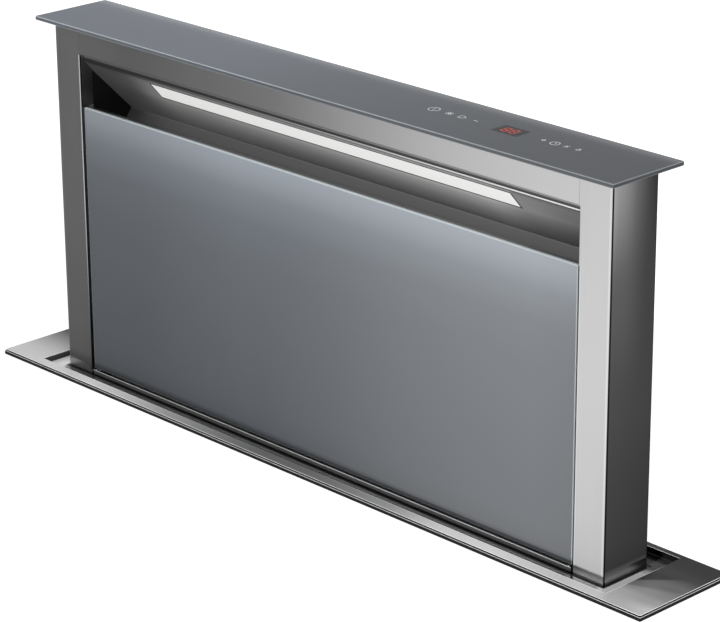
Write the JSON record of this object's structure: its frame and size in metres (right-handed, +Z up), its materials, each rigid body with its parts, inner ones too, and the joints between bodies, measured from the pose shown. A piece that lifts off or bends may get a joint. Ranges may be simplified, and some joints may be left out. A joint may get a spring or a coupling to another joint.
{
  "type": "downdraft vent",
  "caption": "Rising worktop extractor with a flush trim, glass cap with touch keys, lit suction slot, tilting glass panel, lift gear and a blower below.",
  "frame": {"origin": "centre of the cut-out, in the plane of the worktop's top face", "axes": "+Z up, +X to the right as the cook stands, +Y away from the cook; the glass panel and the suction slot face -Y"},
  "size_m": [0.902, 0.2999, 1.0921],
  "materials": {
    "trim_steel": "brushed",
    "trim_base_steel": "brushed",
    "gasket_rubber": "matt",
    "recess_steel": "polished, dark",
    "galvanised": "zinc coated",
    "screw_steel": "bright zinc",
    "guide_steel": "drawn",
    "belt_rubber": "toothed, matt",
    "roller_plastic": "satin",
    "pulley_metal": "machined",
    "shaft_steel": "ground",
    "bearing_plastic": "matt",
    "motor_paint": "semi-gloss",
    "tower_steel": "brushed",
    "baffle_steel": "brushed, dark",
    "cap_glass": "grey, printed on its back",
    "panel_glass": "grey, printed on its back",
    "frame_steel": "brushed",
    "board_black": "matt",
    "black_plastic": "satin",
    "lamp_metal": "anodised",
    "lamp_lens": "milky",
    "filter_metal": "satin",
    "blower_steel": "zinc coated",
    "scroll_plastic": "matt",
    "wheel_plastic": "matt",
    "flap_metal": "plain",
    "control_plastic": "satin"
  },
  "bodies": {
    "casing": {"trim_frame": "trim_steel", "trim_base": "trim_base_steel", "worktop_gasket": "gasket_rubber", "recess_tray": "recess_steel", "slot_seal": "gasket_rubber", "casing_front": "galvanised", "casing_back": "galvanised", "casing_floor": "galvanised", "casing_screws": "screw_steel", "fixing_brackets": "galvanised", "casing_end_left": "galvanised", "casing_end_right": "galvanised", "guide_channels": "guide_steel", "lift_belts": "belt_rubber", "idler_brackets": "guide_steel", "shaft_bearings": "bearing_plastic", "lift_motor": "motor_paint", "motor_bracket": "guide_steel", "blower_box": "blower_steel", "blower_lid": "blower_steel", "blower_scroll": "scroll_plastic", "inlet_ring": "scroll_plastic", "blower_motor": "motor_paint", "duct_collar": "blower_steel", "control_box": "control_plastic", "control_lid": "control_plastic", "cable_gland": "black_plastic"},
    "tower": {"top_rail": "tower_steel", "tower_back": "tower_steel", "cap_glass": "cap_glass", "cap_tray": "frame_steel", "touch_board": "board_black", "slot_ends": "black_plastic", "air_baffle": "baffle_steel", "led_housing": "lamp_metal", "led_diffuser": "lamp_lens", "tower_base": "frame_steel", "apron": "tower_steel", "panel_catches": "black_plastic", "stile_left": "tower_steel", "stile_right": "tower_steel", "carriage_left": "guide_steel", "carriage_right": "guide_steel", "belt_clamps": "pulley_metal"},
    "drive": {"drive_shaft": "shaft_steel", "drive_pulley_left": "pulley_metal", "drive_pulley_right": "pulley_metal"},
    "idler_left": {"idler_pulley_left": "pulley_metal"},
    "idler_right": {"idler_pulley_right": "pulley_metal"},
    "roller_left_upper": {"roller_left_upper": "roller_plastic"},
    "roller_left_lower": {"roller_left_lower": "roller_plastic"},
    "roller_right_upper": {"roller_right_upper": "roller_plastic"},
    "roller_right_lower": {"roller_right_lower": "roller_plastic"},
    "panel": {"glass_panel": "panel_glass", "panel_frame": "frame_steel"},
    "filter_left": {"grease_filter_left": "filter_metal"},
    "filter_right": {"grease_filter_right": "filter_metal"},
    "fan": {"impeller": "wheel_plastic"},
    "flap_front": {"damper_flap_front": "flap_metal"},
    "flap_back": {"damper_flap_back": "flap_metal"}
  },
  "joints": [
    {"name": "tower_lift", "type": "slide", "parent": "casing", "child": "tower", "axis": [0, 0, 1], "range_m": [-0.3667, 0]},
    {"name": "drive_shaft_spin", "type": "hinge", "parent": "casing", "child": "drive", "pos_m": [0, 0.02, -0.52], "axis": [1, 0, 0], "range_deg": [0, 1470]},
    {"name": "idler_left_spin", "type": "hinge", "parent": "casing", "child": "idler_left", "pos_m": [-0.388, 0.02, -0.04], "axis": [1, 0, 0], "range_deg": [0, 1470]},
    {"name": "idler_right_spin", "type": "hinge", "parent": "casing", "child": "idler_right", "pos_m": [0.388, 0.02, -0.04], "axis": [1, 0, 0], "range_deg": [0, 1470]},
    {"name": "roller_left_upper_spin", "type": "hinge", "parent": "tower", "child": "roller_left_upper", "pos_m": [-0.409, -0.018, -0.03], "axis": [1, 0, 0], "range_deg": [0, 1617]},
    {"name": "roller_left_lower_spin", "type": "hinge", "parent": "tower", "child": "roller_left_lower", "pos_m": [-0.409, -0.018, -0.094], "axis": [1, 0, 0], "range_deg": [0, 1617]},
    {"name": "roller_right_upper_spin", "type": "hinge", "parent": "tower", "child": "roller_right_upper", "pos_m": [0.409, -0.018, -0.03], "axis": [1, 0, 0], "range_deg": [0, 1617]},
    {"name": "roller_right_lower_spin", "type": "hinge", "parent": "tower", "child": "roller_right_lower", "pos_m": [0.409, -0.018, -0.094], "axis": [1, 0, 0], "range_deg": [0, 1617]},
    {"name": "panel_tilt", "type": "hinge", "parent": "tower", "child": "panel", "pos_m": [0, -0.0272, 0.001], "axis": [1, 0, 0], "range_deg": [0, 30]},
    {"name": "filter_left_lift", "type": "slide", "parent": "tower", "child": "filter_left", "axis": [0, 0.0901, 0.9959], "range_m": [0, 0.012]},
    {"name": "filter_right_lift", "type": "slide", "parent": "tower", "child": "filter_right", "axis": [0, 0.0901, 0.9959], "range_m": [0, 0.012]},
    {"name": "impeller_spin", "type": "hinge", "parent": "casing", "child": "fan", "pos_m": [0, -0.15, -0.575], "axis": [0, 1, 0], "continuous": true},
    {"name": "damper_front_swing", "type": "hinge", "parent": "casing", "child": "flap_front", "pos_m": [-0.185, -0.1419, -0.4724], "axis": [0, 0, -1], "range_deg": [0, 75], "stiffness_Nm_per_rad": 0.01},
    {"name": "damper_back_swing", "type": "hinge", "parent": "casing", "child": "flap_back", "pos_m": [-0.185, -0.1353, -0.4724], "axis": [0, 0, 1], "range_deg": [0, 75], "stiffness_Nm_per_rad": 0.01}
  ],
  "couplings": [
    {"joint": "drive_shaft_spin", "follows": "tower_lift", "rad_per_m": -69.93},
    {"joint": "idler_left_spin", "follows": "tower_lift", "rad_per_m": -69.93},
    {"joint": "idler_right_spin", "follows": "tower_lift", "rad_per_m": -69.93},
    {"joint": "roller_left_upper_spin", "follows": "tower_lift", "rad_per_m": -76.923},
    {"joint": "roller_left_lower_spin", "follows": "tower_lift", "rad_per_m": -76.923},
    {"joint": "roller_right_upper_spin", "follows": "tower_lift", "rad_per_m": -76.923},
    {"joint": "roller_right_lower_spin", "follows": "tower_lift", "rad_per_m": -76.923}
  ]
}
